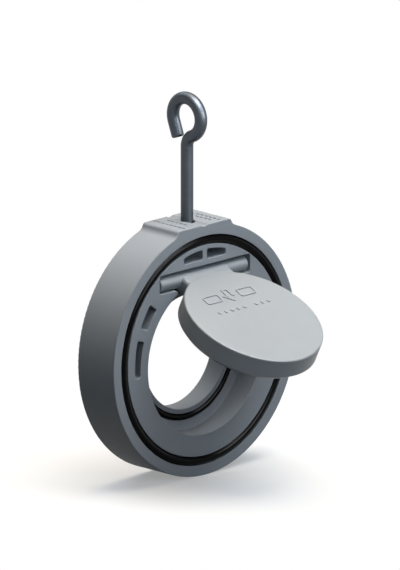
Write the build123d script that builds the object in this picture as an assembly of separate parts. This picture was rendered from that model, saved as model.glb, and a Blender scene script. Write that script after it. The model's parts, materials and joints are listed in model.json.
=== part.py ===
"""Wafer check valve: a ring clamped between two pipe flanges, with a flap that swings open with the flow.

The middle of the ring is the origin. The pipe axis runs along Y, the outlet is on the -Y side, and +Z is up.
The flap is drawn shut first, against its seat, and then swung open about its shaft.
"""
from build123d import *
import math
import os

# Seat, flap and chamber in millimetres, from the bore outwards
bore_radius = 44.2
bore_lead = 2.0                 # rounded inlet edge of the bore
seat_land = 6.2                 # edge of the bore to the middle of the seat ring
flap_overlap = 4.6              # the disc reaches this far beyond the middle of the seat ring
flap_side_clearance = 5.4       # between the disc and the wall of the chamber
chamber_depth = 19.8            # outlet face to seat
axis_drop = 4.8                 # bore and chamber lie this far below the middle of the ring

# Ring
ring_length = 38.0              # face to face
ring_edge = 0.6                 # broken edge of both faces
ring_rim_width = 11.8           # middle of the face rings to the outside of the ring

# Pad for the eye bolt, on top of the ring
pad_rise = 0.3                  # the flat stands this far above the round of the ring
pad_half_width = 27.6
pad_side_depth = 7.3            # height of its sloping sides, down into the ring
pad_side_slope = 3.0            # each side leans out this far on its way down
pad_shoulder = 3.0              # rounded top corners
pad_sweep = 6.7                 # hollow corners into the ring
pad_sweep_share = 0.95          # of what the sides leave free, the most that a hollow corner takes
pad_channel_radius = 6.5
pad_channel_depth = 1.1         # shallow hollow across the pad

# Cored pockets in the outlet face
pocket_depth = 28.0
pocket_corner = 1.8
top_pocket_web = 4.0            # wall between the two top pockets
top_pocket_width = 20.3
top_pocket_height = 8.0         # at the middle of the ring
top_pocket_foot_wall = 4.1      # between the hinge slot and the top pockets
top_pocket_head_wall = 3.2      # between the top pockets and the face groove
side_pocket_wall = 7.8          # between the chamber and a side pocket
side_pocket_width = 5.9
upper_pocket_start = 141.4      # degrees from +X
upper_pocket_sweep = 15.2
pocket_rib_sweep = 7.4          # rib between the upper and the lower side pocket
lower_pocket_sweep = 23.4

# Hinge: the shaft lies in a slot that is open to the outlet face
hinge_rise = 2.4                # shaft axis above the top of the chamber
shaft_radius = 6.0
shaft_end_play = 2.0            # at each end of the slot
shaft_clearance = 0.3           # to the floor and the back of the slot
shaft_chamfer = 0.6
slot_headroom = 2.3             # room above the shaft
slot_corner = 2.0
slot_end_wall = 0.5             # between the top corners of the slot and the face groove
notch_side_clearance = 3.7      # room beside the neck of the flap
notch_corner = 2.5

# Flap
flap_lift = 1.0                 # middle of the shut disc above the axis of the bore
flap_seat_gap = 0.4             # between the shut disc and the seat ring, which is drawn unsqueezed
flap_rim_round = 1.2            # edge of the outlet side of the disc
flap_seat_chamfer = 3.0
neck_half_width = 24.8
neck_side_round = 3.4           # both long edges of its outlet side
neck_hollow_drop = 8.9          # middle of the shallow hollow across the neck, below the shaft axis
neck_hollow_width = 4.6
neck_hollow_depth = 0.8
open_angle = 63.9               # as drawn, from shut

# O-rings, with the part that stands out of the groove
face_ring_section = 7.0
face_ring_proud = 0.9
seat_ring_section = 5.1
seat_ring_proud = 0.8
groove_side_clearance = 0.1
groove_floor_clearance = 0.02

# Eye bolt
rod_radius = 4.8
rod_screwed_in = 15.0           # length inside the pad
hole_spare = 1.5                # the hole goes deeper than the rod
thread_clearance = 0.05
hole_countersink = 1.0
eye_rise = 80.2                 # middle of the eye above the pad
eye_radius = 14.8               # to the middle of the rod
rod_bend = 9.4                  # bend between the straight rod and the eye
tip_turn = 20.5                 # degrees past the level of the middle of the eye
tip_length = 13.0
tip_round = 1.9                 # both cut ends of the rod

# Stations on Y, from the outlet side to the inlet side
outlet_face = -ring_length / 2
inlet_face = ring_length / 2
seat_face = outlet_face + chamber_depth
flap_back = seat_face - seat_ring_proud - flap_seat_gap
hinge_depth = outlet_face + shaft_radius
neck_back = hinge_depth + shaft_radius
slot_back = neck_back + shaft_clearance

# Radii and heights, from the bore outwards
seat_ring_radius = bore_radius + seat_land
flap_radius = seat_ring_radius + flap_overlap
chamber_radius = flap_radius + flap_side_clearance
chamber_middle = -axis_drop
flap_middle = chamber_middle + flap_lift
hinge_height = chamber_middle + chamber_radius + hinge_rise
slot_floor = hinge_height - shaft_radius - shaft_clearance
slot_top = hinge_height + shaft_radius + slot_headroom
top_pocket_floor = slot_top + top_pocket_foot_wall
top_pocket_radius = top_pocket_floor + top_pocket_height
side_pocket_radius = chamber_radius + side_pocket_wall + side_pocket_width
face_groove_inside = top_pocket_radius + top_pocket_head_wall
face_ring_radius = face_groove_inside + groove_side_clearance + face_ring_section / 2
ring_radius = face_ring_radius + ring_rim_width
pad_top = ring_radius + pad_rise
pad_root = pad_top - pad_side_depth
eye_height = pad_top + eye_rise

# Slot and shaft, as long as the face groove lets them be
slot_corner_reach = face_groove_inside - slot_end_wall - slot_corner
slot_half_width = slot_corner + math.sqrt(slot_corner_reach ** 2 - (slot_top - slot_corner) ** 2)
shaft_length = 2 * (slot_half_width - shaft_end_play)
hinge_axis = Axis((0, hinge_depth, hinge_height), (1, 0, 0))
touching = 0.01                 # how near a corner lies to the line that it is looked for on


def along_y(sketch, start, end):
    """Prism of an outline drawn on X and Z, from one station on Y to another."""
    return Pos(0, start, 0) * extrude(Plane.XZ * sketch, start - end)


def round_along_y(radius, start, end, height=0.0):
    return along_y(Pos(0, height) * Circle(radius), start, end)


def rectangle(left, right, bottom, top):
    return Pos((left + right) / 2, (bottom + top) / 2) * Rectangle(right - left, top - bottom)


def o_ring(radius, section, station, height=0.0):
    return Pos(0, station, height) * Rot(90, 0, 0) * Torus(radius, section / 2)


def ring_groove(radius, section, face, floor, height=0.0):
    """Square groove around the pipe axis, from a face to its floor."""
    half = section / 2 + groove_side_clearance
    outline = Pos(0, height) * (Circle(radius + half) - Circle(radius - half))
    return along_y(outline, min(face, floor), max(face, floor))


def groove_depth(section, proud):
    return section - proud + groove_floor_clearance


def body_blank():
    """Ring and pad in one outline, with the edges of both faces broken."""
    foot = pad_half_width + pad_side_slope
    pad = make_face(Polyline((-foot, pad_root), (-pad_half_width, pad_top),
                             (pad_half_width, pad_top), (foot, pad_root), close=True))
    outline = Circle(ring_radius) + pad
    outline = fillet(outline.vertices().sort_by(Axis.Y)[-2:], pad_shoulder)
    hollows = [v for v in outline.vertices()
               if abs(math.hypot(v.X, v.Y) - ring_radius) < touching and v.Y > pad_root]
    side = outline.edges().filter_by(GeomType.LINE).sort_by(Axis.X)[-1]
    side_angle = math.atan2(pad_side_depth, pad_side_slope)
    turn = side_angle - math.asin(side.vertices().sort_by(Axis.Y)[0].X / ring_radius)
    sweep_room = side.length / math.tan(turn / 2)
    outline = fillet(hollows, min(pad_sweep, pad_sweep_share * sweep_room))
    blank = along_y(outline, outlet_face, inlet_face)
    rims = blank.faces().filter_by(Axis.Y).edges()
    return fillet(rims, ring_edge)


def chamber_and_bore():
    """Flap chamber from the outlet face to the seat, and the bore behind it with its rounded inlet edge."""
    chamber = round_along_y(chamber_radius, outlet_face, seat_face, chamber_middle)
    bore = round_along_y(bore_radius, seat_face, inlet_face, chamber_middle)
    lead_ring = round_along_y(bore_radius + bore_lead, inlet_face - bore_lead, inlet_face, chamber_middle)
    lip = o_ring(bore_radius + bore_lead, 2 * bore_lead, inlet_face - bore_lead, chamber_middle)
    return chamber + bore + (lead_ring - lip)


def hinge_slot():
    """Slot for the shaft, with a notch below it through which the neck of the flap passes."""
    notch_half = neck_half_width + notch_side_clearance
    slot = rectangle(-slot_half_width, slot_half_width, slot_floor, slot_top)
    slot = fillet(slot.vertices(), slot_corner)
    slot += rectangle(-notch_half, notch_half, chamber_middle, hinge_height)
    inner_corners = [v for v in slot.vertices()
                     if abs(v.Y - slot_floor) < touching and abs(abs(v.X) - notch_half) < touching]
    slot = fillet(inner_corners, notch_corner)
    return along_y(slot, outlet_face, slot_back)


def top_pocket():
    """Pocket beside the middle of the ring, flat below and curved above."""
    left = top_pocket_web / 2
    outline = rectangle(left, left + top_pocket_width, top_pocket_floor, ring_radius)
    outline &= Circle(top_pocket_radius)
    return fillet(outline.vertices(), pocket_corner)


def side_pocket(first, sweep):
    """Pocket between an arc about the chamber and an arc about the ring, from one angle on."""
    reach = 2 * ring_radius
    start, end = math.radians(first), math.radians(first + sweep)
    sector = make_face(Polyline((0, 0), (reach * math.cos(start), reach * math.sin(start)),
                                (reach * math.cos(end), reach * math.sin(end)), close=True))
    inner = Pos(0, chamber_middle) * Circle(chamber_radius + side_pocket_wall)
    outline = (Circle(side_pocket_radius) & sector) - inner
    return fillet(outline.vertices(), pocket_corner)


def pockets():
    lower_pocket_start = upper_pocket_start + upper_pocket_sweep + pocket_rib_sweep
    cores = [top_pocket(), side_pocket(upper_pocket_start, upper_pocket_sweep),
             side_pocket(lower_pocket_start, lower_pocket_sweep)]
    cores += [mirror(core, about=Plane.YZ) for core in cores]
    return [along_y(core, outlet_face, outlet_face + pocket_depth) for core in cores]


def bolt_hole():
    """Threaded hole in the pad, countersunk, and the shallow channel that crosses the pad."""
    depth = rod_screwed_in + hole_spare
    radius = rod_radius + thread_clearance
    channel_bottom = pad_top - pad_channel_depth
    hole = Pos(0, 0, pad_top - depth / 2) * Cylinder(radius, depth)
    sink = Pos(0, 0, channel_bottom) * Cone(radius, radius + 2 * hole_countersink, 2 * hole_countersink)
    channel = round_along_y(pad_channel_radius, outlet_face, inlet_face, channel_bottom + pad_channel_radius)
    return hole + sink + channel


def valve_body():
    face_depth = groove_depth(face_ring_section, face_ring_proud)
    body = body_blank() - chamber_and_bore() - hinge_slot() - bolt_hole()
    body -= ring_groove(face_ring_radius, face_ring_section, outlet_face, outlet_face + face_depth)
    body -= ring_groove(face_ring_radius, face_ring_section, inlet_face, inlet_face - face_depth)
    seat_floor = seat_face + groove_depth(seat_ring_section, seat_ring_proud)
    body -= ring_groove(seat_ring_radius, seat_ring_section, seat_face, seat_floor, chamber_middle)
    for core in pockets():
        body -= core
    return body


def flap_neck():
    """Neck, shut, down to the middle of the disc, with a shallow hollow across it just above the disc."""
    outline = rectangle(-neck_half_width, neck_half_width, flap_middle, hinge_height)
    neck = along_y(outline, outlet_face, neck_back)
    sides = neck.faces().sort_by(Axis.Y)[0].edges().filter_by(Axis.Z)
    hollow_radius = (neck_hollow_width ** 2 / 4 + neck_hollow_depth ** 2) / (2 * neck_hollow_depth)
    hollow_middle = outlet_face + neck_hollow_depth - hollow_radius
    hollow = Cylinder(hollow_radius, 3 * neck_half_width)
    hollow = Pos(0, hollow_middle, hinge_height - neck_hollow_drop) * Rot(0, 90, 0) * hollow
    return fillet(sides, neck_side_round) - hollow


def flap_disc():
    """Disc, shut, with a rounded outlet edge and a chamfer around its seating face."""
    disc = round_along_y(flap_radius, outlet_face, flap_back, flap_middle)
    rims = disc.edges().filter_by(GeomType.CIRCLE).sort_by(Axis.Y)
    disc = chamfer(rims[-1], flap_seat_chamfer)
    return fillet(disc.edges().filter_by(GeomType.CIRCLE).sort_by(Axis.Y)[0], flap_rim_round)


def flap():
    """One moulding: disc, neck and shaft, swung open about the shaft."""
    shaft = Pos(0, hinge_depth, hinge_height) * Rot(0, 90, 0) * Cylinder(shaft_radius, shaft_length)
    shaft = chamfer(shaft.edges().filter_by(GeomType.CIRCLE), shaft_chamfer)
    shut = flap_disc() + flap_neck() + shaft
    return shut.rotate(hinge_axis, -open_angle)


def eye_bolt():
    """Straight rod, a bend to one side, most of a turn for the eye and a short straight tip."""
    spread = rod_bend + eye_radius
    lean = math.degrees(math.acos(rod_bend / spread))
    bend_height = eye_height - spread * math.sin(math.radians(lean))
    foot = pad_top - rod_screwed_in
    shank = Line((0, foot), (0, bend_height))
    bend = CenterArc((-rod_bend, bend_height), rod_bend, 0, lean)
    eye = CenterArc((0, eye_height), eye_radius, 180 + lean, -(180 + lean + tip_turn))
    turn = math.radians(tip_turn)
    side = Vector(eye_radius * math.cos(turn), eye_height - eye_radius * math.sin(turn))
    tip = Line(side, side - Vector(math.sin(turn), math.cos(turn)) * tip_length)
    path = Plane.YZ * (shank + bend + eye + tip)
    rod = sweep(Plane((0, 0, foot)) * Circle(rod_radius), path=path)
    cut_end = rod.faces().filter_by(GeomType.PLANE).sort_by(Axis.Z)[-1]
    rod = fillet(cut_end.edges(), tip_round)
    return chamfer(rod.faces().sort_by(Axis.Z)[0].edges(), tip_round)


def all_parts():
    """Every piece by its name, each where it sits in the finished valve."""
    face_inset = face_ring_section / 2 - face_ring_proud
    seat_inset = seat_ring_section / 2 - seat_ring_proud
    return {
        "valve_body": valve_body(),
        "flap": flap(),
        "seat_o_ring": o_ring(seat_ring_radius, seat_ring_section, seat_face + seat_inset, chamber_middle),
        "outlet_face_o_ring": o_ring(face_ring_radius, face_ring_section, outlet_face + face_inset),
        "inlet_face_o_ring": o_ring(face_ring_radius, face_ring_section, inlet_face - face_inset),
        "eye_bolt": eye_bolt(),
    }


os.makedirs("parts", exist_ok=True)
for name, piece in all_parts().items():
    export_step(piece, f"parts/{name}.step")
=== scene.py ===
import json
import math

import bmesh
import bpy
from mathutils import Matrix, Vector


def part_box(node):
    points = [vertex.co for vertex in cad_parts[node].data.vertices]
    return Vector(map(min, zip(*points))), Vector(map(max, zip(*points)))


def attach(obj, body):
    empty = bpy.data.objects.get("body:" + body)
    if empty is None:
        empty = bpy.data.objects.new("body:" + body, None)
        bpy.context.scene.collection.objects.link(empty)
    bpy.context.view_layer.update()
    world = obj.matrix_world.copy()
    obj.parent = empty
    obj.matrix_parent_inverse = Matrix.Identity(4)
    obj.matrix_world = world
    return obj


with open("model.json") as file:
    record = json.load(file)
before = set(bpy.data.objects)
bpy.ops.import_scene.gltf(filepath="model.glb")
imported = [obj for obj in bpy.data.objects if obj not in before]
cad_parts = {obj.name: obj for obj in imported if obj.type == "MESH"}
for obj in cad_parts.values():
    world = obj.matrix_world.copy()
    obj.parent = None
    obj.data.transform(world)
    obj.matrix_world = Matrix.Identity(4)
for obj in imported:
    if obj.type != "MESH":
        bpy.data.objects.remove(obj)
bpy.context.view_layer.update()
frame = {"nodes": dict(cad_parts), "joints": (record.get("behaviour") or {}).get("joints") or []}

# Valve body
# One ring of grey PVC-U, injection moulded around steel cores that leave the bore, the pockets, the
# hinge slot and the O-ring grooves. Satin grey with a fine grain and a painted highlight along its edges.
MM = 0.001                      # metres
flow_mark_width = 45 * MM       # slow change of shade where the melt flowed
grain_width = 0.9 * MM          # fine spark grain of the mould, drawn twice as coarse so that it shows
grain_height = 0.02 * MM
grain_strength = 0.2
gloss_spread = 0.03             # how far the grain moves the roughness to either side
rounded_edge_width = 0.7 * MM         # radius of the shaded rounding of sharp edges, and width of the painted edge highlight
edge_highlight_begins, edge_highlight_full = 0.99, 0.80     # cosine of the turn of the rounded edge, from no painted highlight to the full one
edge_highlight_share = 0.55                # share of the painted highlight colour on a fully turned edge
pvc_ior = 1.32                  # below real PVC, because the studio around it is white on all sides


def linear_colour(code):
    """An sRGB hex colour as the linear colour that a shader takes."""
    channels = [int(code[place:place + 2], 16) / 255 for place in (1, 3, 5)]
    return [c / 12.92 if c <= 0.04045 else ((c + 0.055) / 1.055) ** 2.4 for c in channels] + [1.0]


def add_node(tree, kind, settings=(), links=(), **values):
    """Adds a node, sets its properties and input values, and links outputs of other nodes to its inputs."""
    node = tree.nodes.new(kind)
    for name, value in dict(settings).items():
        setattr(node, name, value)
    for name, value in values.items():
        node.inputs[name.replace("_", " ")].default_value = value
    for name, output in dict(links).items():
        tree.links.new(output, node.inputs[name])
    return node


def moulded_pvc(name, flow_dark, flow_light, edge_highlight_colour, gloss):
    """PVC-U from a polished mould: slow flow marks, faint grain, satin gloss and painted edge highlights."""
    material = bpy.data.materials.new(name)
    material.use_nodes = True
    tree = material.node_tree
    tree.nodes.clear()
    place = add_node(tree, "ShaderNodeTexCoord").outputs["Object"]
    flow = add_node(tree, "ShaderNodeTexNoise", links={"Vector": place}, Scale=1 / flow_mark_width, Detail=3)
    grain = add_node(tree, "ShaderNodeTexNoise", links={"Vector": place}, Scale=1 / grain_width, Detail=2)
    shade = add_node(tree, "ShaderNodeMix", {"data_type": "RGBA"}, {"Factor": flow.outputs["Fac"]})
    shade.inputs["A"].default_value = linear_colour(flow_dark)
    shade.inputs["B"].default_value = linear_colour(flow_light)
    rounded = add_node(tree, "ShaderNodeBevel", {"samples": 6}, Radius=rounded_edge_width).outputs["Normal"]
    true_normal = add_node(tree, "ShaderNodeNewGeometry").outputs["Normal"]
    facing = add_node(tree, "ShaderNodeVectorMath", {"operation": "DOT_PRODUCT"})
    tree.links.new(rounded, facing.inputs[0])
    tree.links.new(true_normal, facing.inputs[1])
    # Painted highlight: the colour lightens along every sharp edge, where the rounded normal turns from the
    # true one.
    edge = add_node(tree, "ShaderNodeMapRange", links={"Value": facing.outputs["Value"]},
                    From_Min=edge_highlight_begins, From_Max=edge_highlight_full, To_Min=0.0, To_Max=edge_highlight_share)
    edge_highlit = add_node(tree, "ShaderNodeMix", {"data_type": "RGBA"}, {"Factor": edge.outputs["Result"]})
    tree.links.new(shade.outputs["Result"], edge_highlit.inputs["A"])
    edge_highlit.inputs["B"].default_value = linear_colour(edge_highlight_colour)
    rough = add_node(tree, "ShaderNodeMapRange", links={"Value": grain.outputs["Fac"]},
                     To_Min=gloss - gloss_spread, To_Max=gloss + gloss_spread)
    bump = add_node(tree, "ShaderNodeBump", links={"Height": grain.outputs["Fac"], "Normal": rounded},
                    Strength=grain_strength, Distance=grain_height)
    plastic = add_node(tree, "ShaderNodeBsdfPrincipled",
                       links={"Base Color": edge_highlit.outputs["Result"], "Roughness": rough.outputs["Result"],
                              "Normal": bump.outputs["Normal"]}, IOR=pvc_ior)
    add_node(tree, "ShaderNodeOutputMaterial", links={"Surface": plastic.outputs["BSDF"]})
    return material


def dress(node, material):
    """Gives a CAD node its material."""
    piece = frame["nodes"][node]
    piece.data.materials.clear()
    piece.data.materials.append(material)


# The third colour is the painted edge highlight.
body_pvc = moulded_pvc("moulded_pvc_body", "#767D86", "#80878F", "#A7ADB4", gloss=0.56)
dress("valve_body", body_pvc)

# Bars on the pad
# Plain raised bars in rows on both sides of the eye bolt, moulded with the ring. They stand where makers
# cut their own marks into the mould, and say nothing.
bar_length, bar_width = 3.0 * MM, 1.1 * MM
bar_pitch = 4.4 * MM
bar_corner = 0.25 * MM
bar_height = 0.6 * MM
mark_edge = 0.12 * MM           # broken top edge of every raised mark
mark_root = 0.3 * MM            # how far a mark reaches into the moulding that carries it
bar_rows = ((-18.6, 15.5, 8), (-10.4, 8.8, 5), (13.7, 2.5, 4), (18.8, 7.0, 6))   # x, first y, bars
pad_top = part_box("valve_body")[1].z


def inset(outline, distance):
    """An anticlockwise outline moved inwards by a distance, corner by corner."""
    moved = []
    for before, corner, after in zip(outline[-1:] + outline[:-1], outline, outline[1:] + outline[:1]):
        arriving, leaving = (corner - before).normalized(), (after - corner).normalized()
        inward = Vector((-arriving.y - leaving.y, arriving.x + leaving.x))
        moved.append(corner + inward * distance / (1 + arriving.dot(leaving)))
    return moved


def bar(x, y, length, width, corner):
    """Outline of a bar that lies along its own Y, with cut corners."""
    across, along = width / 2, length / 2
    quarter = [(across, along - corner), (across - corner, along)]
    half = quarter + [(-px, py) for px, py in reversed(quarter)]
    return [Vector((x + px, y + py)) for px, py in half + [(-px, -py) for px, py in half]]


def raised_marks(name, outlines, height, place, stroke=None):
    """Outlines raised on a face as one mesh: solid, or as hollow strokes of one width."""
    shape = bmesh.new()
    out_of_face = place.to_3x3().col[2]
    for outline in outlines:
        steps = [(outline, -mark_root), (outline, height - mark_edge), (inset(outline, mark_edge), height)]
        if stroke:
            inner = inset(outline, stroke)
            steps += [(inset(outline, stroke - mark_edge), height),
                      (inner, height - mark_edge), (inner, -mark_root)]
        rings = [[shape.verts.new(place @ corner.to_3d() + out_of_face * level) for corner in ring]
                 for ring, level in steps]
        for lower, upper in zip(rings, rings[1:] + rings[:1] if stroke else rings[1:]):
            for here in range(len(lower)):
                after = (here + 1) % len(lower)
                shape.faces.new((lower[here], lower[after], upper[after], upper[here]))
        if not stroke:
            shape.faces.new(rings[-1])
            shape.faces.new(reversed(rings[0]))
    mesh = bpy.data.meshes.new(name)
    shape.to_mesh(mesh)
    shape.free()
    marks = bpy.data.objects.new(name, mesh)
    bpy.context.scene.collection.objects.link(marks)
    return marks


bars = [bar(x * MM, first * MM - step * bar_pitch, bar_length, bar_width, bar_corner)
        for x, first, count in bar_rows for step in range(count)]
pad_bars = raised_marks("pad_bars", bars, bar_height, Matrix.Translation((0, 0, pad_top)))
pad_bars.data.materials.append(body_pvc)
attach(pad_bars, "ring")

# O-rings
# Three moulded EPDM rings, pressed by hand into their grooves: one around the seat of the flap and one
# in each face for the flange. Black satin rubber with a faint bloom.
bloom_width = 6 * MM
skin_width = 0.5 * MM
skin_height = 0.01 * MM
skin_strength = 0.4
rubber_gloss = (0.15, 0.25)     # roughness, from clean skin to bloom
rubber_ior = 1.12               # low for the same reason as the PVC's, so that the black stays black


def pressed_rubber(name):
    """EPDM from a press mould: near black, a greyer bloom in patches and a satin skin."""
    material = bpy.data.materials.new(name)
    material.use_nodes = True
    tree = material.node_tree
    tree.nodes.clear()
    place = add_node(tree, "ShaderNodeTexCoord").outputs["Object"]
    bloom = add_node(tree, "ShaderNodeTexNoise", links={"Vector": place}, Scale=1 / bloom_width, Detail=4)
    shade = add_node(tree, "ShaderNodeMix", {"data_type": "RGBA"}, {"Factor": bloom.outputs["Fac"]})
    shade.inputs["A"].default_value = linear_colour("#020203")
    shade.inputs["B"].default_value = linear_colour("#060607")
    skin = add_node(tree, "ShaderNodeTexNoise", links={"Vector": place}, Scale=1 / skin_width, Detail=2)
    rough = add_node(tree, "ShaderNodeMapRange", links={"Value": bloom.outputs["Fac"]},
                     To_Min=rubber_gloss[0], To_Max=rubber_gloss[1])
    bump = add_node(tree, "ShaderNodeBump", links={"Height": skin.outputs["Fac"]},
                    Strength=skin_strength, Distance=skin_height)
    rubber = add_node(tree, "ShaderNodeBsdfPrincipled",
                      links={"Base Color": shade.outputs["Result"], "Roughness": rough.outputs["Result"],
                             "Normal": bump.outputs["Normal"]}, IOR=rubber_ior)
    add_node(tree, "ShaderNodeOutputMaterial", links={"Surface": rubber.outputs["BSDF"]})
    return material


seal_rubber = pressed_rubber("pressed_epdm_rubber")
for seal in ("seat_o_ring", "outlet_face_o_ring", "inlet_face_o_ring"):
    dress(seal, seal_rubber)

# Flap
# Disc, neck and shaft in one PVC-U moulding of the body's grey, laid into the open slot. Its colours are set
# a shade lighter and its gloss higher than the ring's.
# The third colour is the painted edge highlight.
flap_pvc = moulded_pvc("moulded_pvc_flap", "#81888F", "#8A9198", "#B1B7BE", gloss=0.40)
dress("flap", flap_pvc)

# Arrow, frames and dots on the flap
# Raised on the outlet face in the same moulding, in the flap's own material: an arrow that points away
# from the hinge, between two empty frames, and a row of plain round dots below them.
hinge = frame["joints"][0]
opened = math.radians(hinge["range_deg"][1])
shaft_radius = 6 * MM
outward = Vector((0, -math.cos(opened), math.sin(opened)))
towards_hinge = Vector((0, math.sin(opened), math.cos(opened)))
outlet_side = Matrix((Vector((1, 0, 0)), towards_hinge, outward)).transposed().to_4x4()
outlet_side.translation = Vector(hinge["pos_m"]) + outward * shaft_radius
mark_height = 0.7 * MM
stroke_width = 1.3 * MM
arrow_x = -2 * MM
arrow_tail, arrow_tip = -27.5 * MM, -42 * MM        # down the slope from the hinge
arrow_head = 7.5 * MM
arrow_width, arrow_stem = 15 * MM, 6.4 * MM
frame_length, frame_width, frame_corner = 16.5 * MM, 9 * MM, 1.5 * MM
frame_spacing = 17.7 * MM
dot_row = -50 * MM
dot_radius = 1.6 * MM
dot_places = (-25.5, -19, -12.5, -6, 0.5, 13, 19.5, 26)     # millimetres along the row
dot_sides = 16

barb = arrow_tip + arrow_head
right_side = [(arrow_width / 2, barb), (arrow_stem / 2, barb), (arrow_stem / 2, arrow_tail)]
arrow_corners = [(0, arrow_tip)] + right_side + [(-x, y) for x, y in reversed(right_side)]
arrow = [Vector((arrow_x + x, y)) for x, y in arrow_corners]
frame_y = (arrow_tail + arrow_tip) / 2
frames = [bar(arrow_x + side * frame_spacing, frame_y, frame_width, frame_length, frame_corner)
          for side in (-1, 1)]
turns = [2 * math.pi * corner / dot_sides for corner in range(dot_sides)]
dot = [(dot_radius * math.cos(turn), dot_radius * math.sin(turn)) for turn in turns]
dots = [[Vector((x * MM + across, dot_row + along)) for across, along in dot] for x in dot_places]
flap_marks = [raised_marks("flap_arrow_and_frames", [arrow] + frames, mark_height, outlet_side, stroke_width),
              raised_marks("flap_dots", dots, mark_height, outlet_side)]
for marks in flap_marks:
    marks.data.materials.append(flap_pvc)
    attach(marks, "flap")

# Eye bolt
# Drawn round steel bar, bent to an eye and left in its dark blue-grey mill finish, screwed into the pad.
# The dark skin is metal that reflects little, so the lamps draw one broad bright band along the eye.
draw_line_width = 0.35 * MM     # lines that the die leaves along the bar
draw_line_squeeze = 0.06        # the pattern's scale along the bar, next to 1 across it
draw_line_height = 0.01 * MM
draw_line_strength = 0.08
oxide_patch_width = 9 * MM
steel_gloss = (0.40, 0.46)      # roughness, along the draw lines


def drawn_steel(name):
    """Cold drawn steel with a thin dark oxide: blue-grey, long fine lines and a soft strong highlight."""
    material = bpy.data.materials.new(name)
    material.use_nodes = True
    tree = material.node_tree
    tree.nodes.clear()
    place = add_node(tree, "ShaderNodeTexCoord").outputs["Object"]
    stretched = add_node(tree, "ShaderNodeMapping", links={"Vector": place})
    stretched.inputs["Scale"].default_value = (1.0, 1.0, draw_line_squeeze)
    lines = add_node(tree, "ShaderNodeTexNoise", links={"Vector": stretched.outputs["Vector"]},
                     Scale=1 / draw_line_width, Detail=2)
    oxide = add_node(tree, "ShaderNodeTexNoise", links={"Vector": place},
                     Scale=1 / oxide_patch_width, Detail=4)
    shade = add_node(tree, "ShaderNodeMix", {"data_type": "RGBA"}, {"Factor": oxide.outputs["Fac"]})
    shade.inputs["A"].default_value = linear_colour("#3C4147")
    shade.inputs["B"].default_value = linear_colour("#494E54")
    rough = add_node(tree, "ShaderNodeMapRange", links={"Value": lines.outputs["Fac"]},
                     To_Min=steel_gloss[0], To_Max=steel_gloss[1])
    bump = add_node(tree, "ShaderNodeBump", links={"Height": lines.outputs["Fac"]},
                    Strength=draw_line_strength, Distance=draw_line_height)
    steel = add_node(tree, "ShaderNodeBsdfPrincipled",
                     links={"Base Color": shade.outputs["Result"], "Roughness": rough.outputs["Result"],
                            "Normal": bump.outputs["Normal"]}, Metallic=1.0)
    add_node(tree, "ShaderNodeOutputMaterial", links={"Surface": steel.outputs["BSDF"]})
    return material


dress("eye_bolt", drawn_steel("drawn_oxidised_steel"))

# Floor and daylight
# A matt white studio floor, which every view shows as the background, and a sky that is white below the
# horizon and dimmer above it, where the lamps are. Both give little to scattered light.
floor_half = 4.0
floor_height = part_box("valve_body")[0].z
bounce_level = 0.02             # what the floor gives back to the underside of the object
shadow_reach = (0.09, 0.26)     # metres from the object in which the floor turns from paint to pure white
white_near_object = 0.3         # share of pure white under the object, which keeps its shadow light
horizon_band = (0.15, 0.55)     # height on the unit sky in which it dims from white to the ceiling
ceiling_level = 0.22
fill_level = 0.13               # what the sky gives to scattered light


def seen_directly(tree):
    """1 for rays from the camera, a mirror or glass, and 0 for scattered light."""
    ray = add_node(tree, "ShaderNodeLightPath")
    either = add_node(tree, "ShaderNodeMath", {"operation": "MAXIMUM"})
    tree.links.new(ray.outputs["Is Camera Ray"], either.inputs[0])
    tree.links.new(ray.outputs["Is Glossy Ray"], either.inputs[1])
    every = add_node(tree, "ShaderNodeMath", {"operation": "MAXIMUM"})
    tree.links.new(either.outputs[0], every.inputs[0])
    tree.links.new(ray.outputs["Is Transmission Ray"], every.inputs[1])
    return every.outputs[0]


def matt_floor_paint(name):
    """Matt white paint that takes the shadow beside the object and is pure white further off."""
    material = bpy.data.materials.new(name)
    material.use_nodes = True
    tree = material.node_tree
    tree.nodes.clear()
    direct = seen_directly(tree)
    shade = add_node(tree, "ShaderNodeMix", {"data_type": "RGBA"}, {"Factor": direct})
    shade.inputs["A"].default_value = [bounce_level] * 3 + [1]
    shade.inputs["B"].default_value = linear_colour("#D3D6DA")
    matt = add_node(tree, "ShaderNodeBsdfDiffuse", links={"Color": shade.outputs["Result"]})
    position = add_node(tree, "ShaderNodeNewGeometry").outputs["Position"]
    distance = add_node(tree, "ShaderNodeVectorMath", {"operation": "LENGTH"}, {"Vector": position})
    away = add_node(tree, "ShaderNodeMapRange", {"interpolation_type": "SMOOTHSTEP"},
                    {"Value": distance.outputs["Value"]},
                    From_Min=shadow_reach[0], From_Max=shadow_reach[1], To_Min=white_near_object)
    share = add_node(tree, "ShaderNodeMath", {"operation": "MULTIPLY"})
    tree.links.new(away.outputs["Result"], share.inputs[0])
    tree.links.new(direct, share.inputs[1])
    white = add_node(tree, "ShaderNodeEmission", Strength=1.0)
    surface = add_node(tree, "ShaderNodeMixShader", links={"Fac": share.outputs[0]})
    tree.links.new(matt.outputs["BSDF"], surface.inputs[1])
    tree.links.new(white.outputs["Emission"], surface.inputs[2])
    add_node(tree, "ShaderNodeOutputMaterial", links={"Surface": surface.outputs["Shader"]})
    return material


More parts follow.
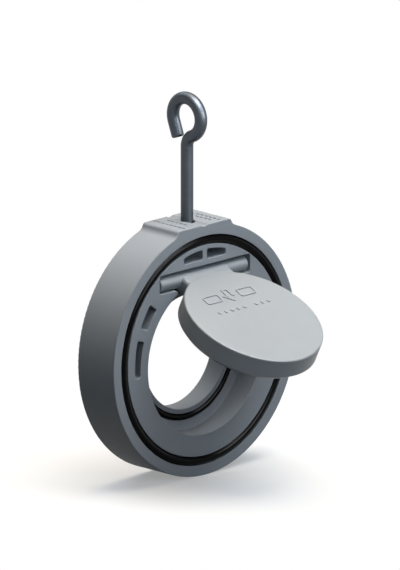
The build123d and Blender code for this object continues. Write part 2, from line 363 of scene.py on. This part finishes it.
def studio_sky(name):
    """White at the horizon and below, dimmer towards the top, and weak as a light."""
    sky = bpy.data.worlds.new(name)
    sky.use_nodes = True
    tree = sky.node_tree
    tree.nodes.clear()
    direct = seen_directly(tree)
    direction = add_node(tree, "ShaderNodeTexCoord").outputs["Generated"]
    parts = add_node(tree, "ShaderNodeSeparateXYZ", links={"Vector": direction})
    seen = add_node(tree, "ShaderNodeMapRange", links={"Value": parts.outputs["Z"]},
                    From_Min=horizon_band[0], From_Max=horizon_band[1], To_Min=1.0, To_Max=ceiling_level)
    level = add_node(tree, "ShaderNodeMix", {"data_type": "FLOAT"}, {"Factor": direct})
    level.inputs["A"].default_value = fill_level
    tree.links.new(seen.outputs["Result"], level.inputs["B"])
    glow = add_node(tree, "ShaderNodeBackground", links={"Strength": level.outputs["Result"]})
    glow.inputs["Color"].default_value = (1, 1, 1, 1)
    add_node(tree, "ShaderNodeOutputWorld", links={"Surface": glow.outputs["Background"]})
    return sky


corners = [(x * floor_half, y * floor_half, floor_height) for x, y in ((-1, -1), (1, -1), (1, 1), (-1, 1))]
floor_mesh = bpy.data.meshes.new("studio_floor")
floor_mesh.from_pydata(corners, [], [(0, 1, 2, 3)])
floor_mesh.materials.append(matt_floor_paint("matt_white_floor_paint"))
floor = bpy.data.objects.new("studio_floor", floor_mesh)
bpy.context.scene.collection.objects.link(floor)
bpy.context.scene.world = studio_sky("studio_sky")

# Lamps
# A wide warm softbox overhead, a cooler one at the front right, a low one for the outlet face and one
# behind. Two bright panels beside the front ones show only in shiny surfaces, as on the eye of the bolt.
lamp_distance = 1.4
lamp_aim = Vector((0, 0, 0.03))
warm_daylight, cool_daylight, panel_white = (1.0, 0.84, 0.66), (0.84, 0.93, 1.0), (1, 1, 1)


def softbox(name, azimuth_degrees, elevation_degrees, width, depth, watts, tint, gleam_only=False):
    """A soft rectangular lamp at that compass angle from +X and that height, turned to the object."""
    around, rise = math.radians(azimuth_degrees), math.radians(elevation_degrees)
    level = Vector((math.cos(around), math.sin(around), 0)) * math.cos(rise)
    place = lamp_aim + (level + Vector((0, 0, math.sin(rise)))) * lamp_distance
    lamp = bpy.data.lights.new(name, "AREA")
    lamp.color = tint
    lamp.shape = "RECTANGLE"
    lamp.size = width
    lamp.size_y = depth
    lamp.energy = watts
    holder = bpy.data.objects.new(name, lamp)
    holder.location = place
    holder.rotation_euler = (lamp_aim - place).to_track_quat("-Z", "Y").to_euler()
    holder.visible_diffuse = not gleam_only
    bpy.context.scene.collection.objects.link(holder)


softbox("softbox_top", 0, 84, width=1.3, depth=1.2, watts=33, tint=warm_daylight)
softbox("softbox_front", 302, 62, width=0.9, depth=0.9, watts=14, tint=cool_daylight)
softbox("softbox_low_front", 257, 24, width=0.45, depth=0.5, watts=5.5, tint=cool_daylight)
softbox("softbox_back", 83, 48, width=0.9, depth=0.8, watts=8, tint=cool_daylight)
softbox("panel_high", 265, 66, width=1.1, depth=0.8, watts=70, tint=panel_white, gleam_only=True)
softbox("panel_low", 288, 22, width=0.9, depth=0.5, watts=30, tint=panel_white, gleam_only=True)

# Camera
# A parallel view 45 degrees to the left of the outlet face and 15 degrees above it, as in the photograph,
# placed by the pixel that shows the middle of the ring.
photo_width, photo_height = 400, 570
pixels_per_mm = 1.332
ring_middle_pixel = (187.01, 345.46)
azimuth, elevation = math.radians(-45), math.radians(15)
camera_distance = 2
back = Vector((math.sin(azimuth) * math.cos(elevation), -math.cos(azimuth) * math.cos(elevation),
               math.sin(elevation)))
camera_turn = back.to_track_quat("Z", "Y")
right, up = camera_turn @ Vector((1, 0, 0)), camera_turn @ Vector((0, 1, 0))
across = (photo_width / 2 - ring_middle_pixel[0]) / pixels_per_mm * MM
above = (ring_middle_pixel[1] - photo_height / 2) / pixels_per_mm * MM
lens = bpy.data.cameras.new("camera")
lens.type = "ORTHO"
lens.ortho_scale = photo_height / pixels_per_mm * MM
camera = bpy.data.objects.new("camera", lens)
camera.location = right * across + up * above + back * camera_distance
camera.rotation_euler = camera_turn.to_euler()
bpy.context.scene.collection.objects.link(camera)
bpy.context.scene.camera = camera
bpy.context.scene.view_settings.view_transform = "Standard"
